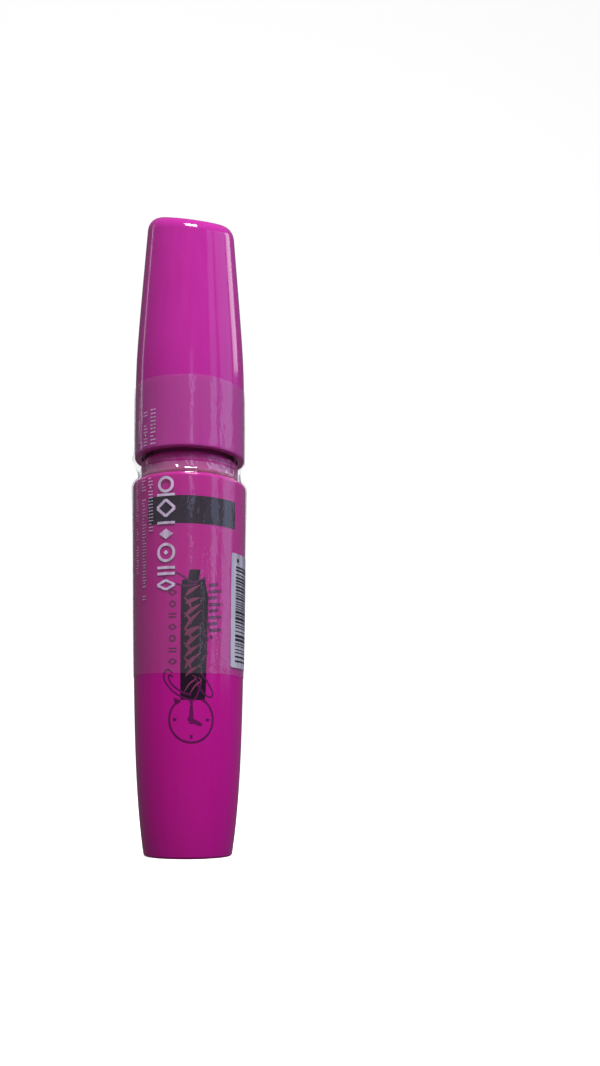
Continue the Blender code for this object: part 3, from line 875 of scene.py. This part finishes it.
FILM = 0.05 * MM
FILM_GAP = 0.05 * MM
SHOULDER_SLACK = 0.16 * MM
SLACK_START_Z = 60.0 * MM
CAP_FILM_GAP = 0.14 * MM
FILM_FOOT_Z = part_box("shrink_band_bottle")[0].z
FILM_TOP_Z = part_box("shrink_band_cap")[1].z
TEAR_Z = 73.6 * MM
TEAR_GAP = 0.24 * MM
TEAR_WANDER = 0.1 * MM
TEAR_TEETH = 0.06 * MM
CUT_WANDER = 0.16 * MM
GROOVE_FILM_RADIUS = 9.55 * MM
FILM_SIDES = 288
PLEAT_REACH = 2.4 * MM
PLEAT_DEPTH = 0.5 * MM
BULGE_Z = 74.7 * MM
BULGE_DEPTH = 1.05 * MM
BULGE_REACH = 1.1 * MM
BULGE_BEARING = math.radians(184)
BULGE_TURN = 0.55
WAVE_DEPTH = 0.02 * MM
FILM_MIRROR_FACE_ON = 0.08
FILM_MIRROR_AT_GLANCE = 0.5
FILM_GLANCE_POWER = 5.0
FILM_BLOOM = 0.04
FILM_CRINKLE_HAZE = 0.16
FILM_TAUT_CLEARING = 0.75


def film_profile():
    """The sleeve's smooth shape, as (r, z) points that climb from its foot to its top."""
    shoulder = (body_radius(SHOULDER_Z) - SHOULDER_FILLET, SHOULDER_Z - SHOULDER_FILLET)
    path = []
    for z in spaced(FILM_FOOT_Z, shoulder[1], 30):
        climb = max(0.0, (z - SLACK_START_Z) / (SHOULDER_Z - SLACK_START_Z))
        path.append((body_radius(z) + FILM_GAP + SHOULDER_SLACK * climb, z))
    path += arc(shoulder, SHOULDER_FILLET + FILM_GAP + SHOULDER_SLACK, 0.15, 1.25, 7)
    rise = spaced(SHOULDER_Z + 0.75 * MM, CAP_RIM_Z - 1.0 * MM, 12)
    path += [(GROOVE_FILM_RADIUS + 0.3 * MM * ((z - TEAR_Z) / PLEAT_REACH) ** 2, z) for z in rise]
    path += [(CAP_RADIUS - 0.4 * MM, CAP_RIM_Z - 0.4 * MM), (CAP_RADIUS + 0.1 * MM, CAP_RIM_Z + 0.05 * MM)]
    return path + [(cap_radius(z) + CAP_FILM_GAP, z) for z in spaced(CAP_RIM_Z + 0.6 * MM, FILM_TOP_Z, 22)]


FILM_PROFILE = film_profile()


def film_shape(z):
    """The smooth shape's radius at a height."""
    for (r0, z0), (r1, z1) in zip(FILM_PROFILE, FILM_PROFILE[1:]):
        if z <= z1:
            return r0 + (r1 - r0) * (z - z0) / (z1 - z0)
    return FILM_PROFILE[-1][0]


def film_radius(z, angle):
    """The inside of the film: its smooth shape with pleats in the groove and faint waves on the walls."""
    height = z / MM
    groove = math.exp(-(((z - TEAR_Z) / PLEAT_REACH) ** 4))
    fold = ring_noise(angle, 4.5, height * 0.35) + 0.6 * ring_noise(angle, 11, 3.0, shift=height * 0.5)
    pleat = PLEAT_DEPTH * groove * (0.5 - abs(fold))
    turn = math.remainder(angle - BULGE_BEARING, math.tau)
    bulge = BULGE_DEPTH * math.exp(-(((z - BULGE_Z) / BULGE_REACH) ** 2) - (turn / BULGE_TURN) ** 2)
    ripple = ring_noise(angle, 2.6, height * 0.06) + 0.5 * ring_noise(angle, 7, height * 0.25)
    return film_shape(z) + pleat + bulge + WAVE_DEPTH * (1 - groove) * (1 + ripple)


def tear_line(angle):
    """Height of the tear: a slow wander with fine teeth on it."""
    return TEAR_Z + TEAR_WANDER * ring_noise(angle, 1.5, 5) + TEAR_TEETH * ring_noise(angle, 22, 8)


def film_edge(z, angle):
    """A cut edge that wanders a little."""
    return z + CUT_WANDER * ring_noise(angle, 1.7, z / MM)


def film_band(name, finish, low_at, high_at, heights):
    """A thin closed band between two edges, with rows at the given heights between them."""

    def outline(angle):
        low, high = low_at(angle), high_at(angle)
        first, last = heights[0], heights[-1]
        rows = [low + (high - low) * (z - first) / (last - first) for z in heights]
        inside = [(film_radius(z, angle), z) for z in rows]
        outer = []
        for index, (r, z) in enumerate(inside):
            before, after = inside[max(index - 1, 0)], inside[min(index + 1, len(inside) - 1)]
            run, climb = after[0] - before[0], after[1] - before[1]
            length = math.hypot(run, climb)
            outer.append((r + FILM * climb / length, z - FILM * run / length))
        return inside + outer[::-1]

    return turned(name, outline, finish, FILM_SIDES, sharp_above=80)


def clear_film(name):
    """Clear film: see-through face on, mirror-like at a glance, with a faint bloom and rub marks.

    It is hazy where it is crinkled below the tear, clearer where it is stretched between the tear and the
    cap's rim, and only the face towards the viewer shows, so that its two faces don't count twice.
    """
    made, tree, shader = material(name)
    rubs = grain(tree, (500.0, 500.0, 60.0), 5.0)
    crinkles = grain(tree, (420.0, 420.0, 170.0), 3.0, distortion=0.6)
    place = node(tree, "ShaderNodeTexCoord").outputs["Object"]
    height = node(tree, "ShaderNodeSeparateXYZ", {0: place}).outputs["Z"]
    facing = node(tree, "ShaderNodeLayerWeight", {"Blend": 0.5}).outputs["Facing"]
    glance = maths(tree, "POWER", facing, FILM_GLANCE_POWER)
    mirror = maths(tree, "MULTIPLY_ADD", glance, FILM_MIRROR_AT_GLANCE, FILM_MIRROR_FACE_ON)
    bloom = ramp(tree, rubs, 0.35, 0.7, end=FILM_BLOOM)
    above_shoulder = ramp(tree, height, SHOULDER_Z, SHOULDER_Z + 0.8 * MM, end=FILM_CRINKLE_HAZE)
    below_tear = ramp(tree, height, TEAR_Z - 0.6 * MM, TEAR_Z + 0.6 * MM, 1.0, 0.0)
    haze = maths(tree, "MULTIPLY", above_shoulder, below_tear)
    above_tear = ramp(tree, height, TEAR_Z - 0.3 * MM, TEAR_Z + 0.9 * MM, end=FILM_TAUT_CLEARING)
    below_rim = ramp(tree, height, CAP_RIM_Z - 0.3 * MM, CAP_RIM_Z + 0.3 * MM, 1.0, 0.0)
    kept = maths(tree, "SUBTRACT", 1.0, maths(tree, "MULTIPLY", above_tear, below_rim))
    whole = maths(tree, "ADD", mirror, maths(tree, "ADD", bloom, haze))
    backfacing = node(tree, "ShaderNodeNewGeometry").outputs["Backfacing"]
    seen = maths(tree, "MULTIPLY", whole, maths(tree, "SUBTRACT", 1.0, backfacing))
    cover = maths(tree, "MULTIPLY", seen, kept)
    clear = node(tree, "ShaderNodeBsdfTransparent").outputs[0]
    surface = node(tree, "ShaderNodeMixShader", {0: cover, 1: clear, 2: shader.outputs[0]}).outputs[0]
    wire(tree.nodes["Material Output"], {"Surface": surface})
    looks = {"Base Color": (0.86, 0.86, 0.98, 1), "Metallic": 0.6}
    looks["Roughness"] = ramp(tree, rubs, 0.4, 0.75, 0.04, 0.14)
    looks["Normal"] = relief(tree, crinkles, 0.00022, 0.7, under=relief(tree, rubs, 0.00003, 0.6))
    wire(shader, {**looks, "Thin Film Thickness": 380.0, "Thin Film IOR": 1.4})
    return made


def bottle_band_foot(angle):
    return film_edge(FILM_FOOT_Z, angle)


def bottle_band_top(angle):
    return tear_line(angle) - TEAR_GAP


def cap_band_top(angle):
    return film_edge(FILM_TOP_Z, angle)


CLEAR_FILM = clear_film("sleeve_film")
lower_rows = [z for r, z in FILM_PROFILE if z < TEAR_Z] + [TEAR_Z]
upper_rows = [TEAR_Z] + [z for r, z in FILM_PROFILE if z > TEAR_Z]
lower_film = film_band("sleeve_bottle_band", CLEAR_FILM, bottle_band_foot, bottle_band_top, lower_rows)
upper_film = film_band("sleeve_cap_band", CLEAR_FILM, tear_line, cap_band_top, upper_rows)
for piece, body, stand_in in (
    (lower_film, "bottle", "shrink_band_bottle"),
    (upper_film, "cap", "shrink_band_cap"),
):
    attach(piece, body)
    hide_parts(stand_in)


# ---- Sleeve print ----
# White ink on the film: a column of large plain shapes, three columns of fine marks down the left side,
# and on the right a white panel with bars across it. The fine columns cross from bottle to cap.

FILM_INK_LIFT = FILM + 0.015 * MM
BAR_LIFT = FILM + 0.03 * MM
PANEL = (8.6, 35.8, 22.0, 57.2)
COLUMN_LEFT = -6.0
COLUMN_RIGHT = -2.6
COLUMN_LINE = 0.5
BOTTLE_COLUMNS = (
    (-7.5, 60.5, 70.6, 1.0, 0.17),
    (-9.3, 46.8, 70.6, 0.95, 0.15),
    (-11.6, 53.2, 70.6, 0.8, 0.13),
)
CAP_COLUMNS = (
    (-7.3, 76.6, 83.3, 1.15, 0.18),
    (-9.3, 76.6, 82.7, 1.0, 0.15),
    (-11.6, 76.6, 81.5, 0.8, 0.13),
)
COLUMN_SEED = 7
PANEL_SEED = 5


def large_shapes(flat):
    """The large column, from the shoulder down: plain lozenges, rings and bars."""
    middle = (COLUMN_LEFT + COLUMN_RIGHT) / 2
    width = COLUMN_RIGHT - COLUMN_LEFT
    loop(flat, (middle, 68.7), 1.25, COLUMN_LINE)
    bar(flat, COLUMN_LEFT, 66.6, COLUMN_RIGHT, 67.05)
    lozenge(flat, (middle, 64.4), width, 3.0, COLUMN_LINE)
    bar(flat, COLUMN_LEFT, 61.5, COLUMN_RIGHT, 61.95)
    lozenge(flat, (middle, 59.7), 0.8 * width, 1.9)
    loop(flat, (middle, 56.3), 1.5, COLUMN_LINE)
    lozenge(flat, (middle, 56.3), 0.9, 0.9)
    for z in (53.3, 52.2):
        bar(flat, COLUMN_LEFT, z, COLUMN_RIGHT, z + 0.5)
    lozenge(flat, (middle, 50.4), width, 1.7, COLUMN_LINE * 0.9)


def fine_columns(flat, columns):
    """Columns of small marks: whole and part bars across them and dots, with a gap now and then.

    Each column is given by its middle, its two ends, its width and the thickness of its lines.
    """
    chance = random.Random(COLUMN_SEED)
    for centre, low, high, size, line in columns:
        left = centre - size / 2
        z = low
        while z < high:
            kind = chance.random()
            if kind < 0.35:
                bar(flat, left, z, left + size, z + line)
            elif kind < 0.6:
                bar(flat, left, z, left + 0.45 * size, z + line)
                bar(flat, left + 0.62 * size, z, left + size, z + line)
            elif kind < 0.8:
                bar(flat, left, z, left + 0.6 * size, z + line)
            elif kind < 0.9:
                lozenge(flat, (centre, z + line), 0.45 * size, 0.45 * size)
            z += 0.6 * size if kind < 0.9 else 1.3 * size


def bottle_marks(flat):
    fine_columns(flat, BOTTLE_COLUMNS)
    large_shapes(flat)


def cap_marks(flat):
    fine_columns(flat, CAP_COLUMNS)


def panel(flat):
    bar(flat, *PANEL, corner=0.3)


def panel_bars(flat):
    """Bars across the panel, stacked up it, of varied thickness."""
    chance = random.Random(PANEL_SEED)
    left, low, right, high = PANEL
    z = low + 1.1
    while z < high - 2.6:
        thick = chance.choice((0.2, 0.2, 0.34, 0.5))
        bar(flat, left + 1.3, z, right - 2.2, z + thick)
        z += thick + chance.choice((0.24, 0.36, 0.5))
    bar(flat, left + 1.6, high - 1.6, left + 2.3, high - 0.9, 0.1)


def sleeve_print(name, body, draw, lift, finish):
    """One pass of ink on the film, rooted halfway into it."""
    flat = bmesh.new()
    draw(flat)
    marks = wrap(name, flat, finish, film_radius, FILM * 0.5, lift)
    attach(marks, body)


WHITE_INK = ink("white_ink", (0.86, 0.68, 0.95), 0.35)
PANEL_WHITE = ink("panel_white", (0.68, 0.64, 0.8), 0.3)
PANEL_BLACK = ink("panel_black", (0.02, 0.02, 0.024), 0.3)
sleeve_print("white_print_bottle", "bottle", bottle_marks, FILM_INK_LIFT, WHITE_INK)
sleeve_print("white_print_cap", "cap", cap_marks, FILM_INK_LIFT, WHITE_INK)
sleeve_print("panel_print", "bottle", panel, FILM_INK_LIFT, PANEL_WHITE)
sleeve_print("panel_bars_print", "bottle", panel_bars, BAR_LIFT, PANEL_BLACK)


# ---- Stage ----
# A pale sweep that runs from the floor up into the backdrop, soft studio lights, and the camera.

SWEEP_FRONT = -2.0
SWEEP_REACH = 0.9
SWEEP_BEND = 0.5
SWEEP_HEIGHT = 2.4
SWEEP_HALF_WIDTH = 2.5
AMBIENT_STRENGTH = 0.13
WINDOW_LIGHT = (0.62, 0.72, 1.0)
CAMERA_DISTANCE = 0.1942
CAMERA_HEIGHT = 0.0176
CAMERA_YAW = math.radians(-6.37)
CAMERA_ROLL = math.radians(0.28)
CAMERA_LENS = 33.77
CAMERA_SHIFT = 0.2176
CAMERA_CLIP = 0.005


def hide(thing, *rays):
    """Keeps a light or the sweep out of some kinds of rays."""
    for ray in rays:
        setattr(thing, "visible_" + ray, False)


def sweep():
    """A floor that curves up into a wall behind the tube."""
    shape = bmesh.new()
    turns = spaced(0, math.pi / 2, 24)
    bend = [(SWEEP_REACH + SWEEP_BEND * sin(a), SWEEP_BEND - SWEEP_BEND * cos(a)) for a in turns]
    profile = [(SWEEP_FRONT, 0.0), *bend, (SWEEP_REACH + SWEEP_BEND, SWEEP_HEIGHT)]
    left = [shape.verts.new((-SWEEP_HALF_WIDTH, y, z)) for y, z in profile]
    right = [shape.verts.new((SWEEP_HALF_WIDTH, y, z)) for y, z in profile]
    for row in range(len(profile) - 1):
        shape.faces.new([left[row], right[row], right[row + 1], left[row + 1]])
    mesh = bpy.data.meshes.new("sweep")
    shape.to_mesh(mesh)
    shape.free()
    mesh.shade_smooth()
    made = bpy.data.objects.new("sweep", mesh)
    bpy.context.scene.collection.objects.link(made)
    paint, _, shader = material("sweep_paint")
    wire(shader, {"Base Color": (0.86, 0.86, 0.86, 1), "Roughness": 0.9, "Specular IOR Level": 0.1})
    wire(shader, {"Emission Color": (1, 1, 1, 1), "Emission Strength": 0.8})
    mesh.materials.append(paint)
    return made


def softbox(name, bearing, distance, height, size, radiance, aim_z, colour=(1, 1, 1)):
    """A rectangular light at a bearing from the camera's side of the tube, in degrees to the right."""
    lamp = bpy.data.lights.new(name, "AREA")
    lamp.shape = "RECTANGLE"
    lamp.size, lamp.size_y = size
    lamp.energy = radiance * math.pi * size[0] * size[1]
    lamp.color = colour
    made = bpy.data.objects.new(name, lamp)
    turn = math.radians(bearing)
    made.location = (distance * sin(turn), -distance * cos(turn), height)
    aim = Vector((0, 0, aim_z)) - made.location
    made.rotation_euler = aim.to_track_quat("-Z", "Y").to_euler()
    bpy.context.scene.collection.objects.link(made)
    return made


hide(sweep(), "glossy", "diffuse", "transmission")

# The pieces are lit by a dim even air, but the camera sees white round the sweep.
world = bpy.data.worlds.new("studio")
bpy.context.scene.world = world
world.use_nodes = True
air = world.node_tree
ambient = air.nodes["Background"]
wire(ambient, {"Color": (1.0, 0.98, 1.0, 1), "Strength": AMBIENT_STRENGTH})
backdrop = node(air, "ShaderNodeBackground", {"Color": (1, 1, 1, 1), "Strength": 1.0})
looking = node(air, "ShaderNodeLightPath").outputs["Is Camera Ray"]
surround = node(air, "ShaderNodeMixShader", {0: looking, 1: ambient.outputs[0], 2: backdrop.outputs[0]})
wire(air.nodes["World Output"], {"Surface": surround.outputs[0]})

softbox("key_overhead", 2, 0.22, 0.46, (0.14, 0.11), 28.0, 0.09)
softbox("window_right_near", 50, 0.42, 0.25, (0.10, 0.40), 0.95, 0.07, WINDOW_LIGHT)
softbox("window_right_far", 82, 0.42, 0.25, (0.24, 0.40), 0.95, 0.07, WINDOW_LIGHT)
hide(softbox("lamp_front", 3, 0.6, 0.28, (0.06, 0.2), 1.1, 0.08, WINDOW_LIGHT), "diffuse")
softbox("sash_front_right", 27, 0.6, 0.12, (0.03, 0.1), 0.8, 0.06)
softbox("strip_back_right", 114, 0.32, 0.30, (0.10, 0.14), 3.0, 0.08)
softbox("strip_back_left", -121, 0.32, 0.26, (0.022, 0.2), 1.8, 0.08)
hide(softbox("fill_front", 20, 0.52, 1.12, (0.6, 0.5), 9.0, 0.08), "glossy")
hide(softbox("fill_back", 185, 0.8, 0.8, (0.6, 0.5), 3.6, 0.08), "glossy", "camera")
hide(softbox("floor_bounce", 10, 0.12, 0.01, (0.2, 0.12), 0.16, 0.075), "glossy", "camera")

camera = bpy.data.objects.new("camera", bpy.data.cameras.new("camera"))
camera.data.lens = CAMERA_LENS
camera.data.shift_y = CAMERA_SHIFT
camera.data.clip_start = CAMERA_CLIP
camera.location = (0, -CAMERA_DISTANCE, CAMERA_HEIGHT)
upright = Euler((math.pi / 2, 0, CAMERA_YAW)).to_matrix()
camera.rotation_euler = (upright @ Matrix.Rotation(CAMERA_ROLL, 3, "Z")).to_euler()
bpy.context.scene.collection.objects.link(camera)
bpy.context.scene.camera = camera
bpy.context.scene.view_settings.view_transform = "Standard"
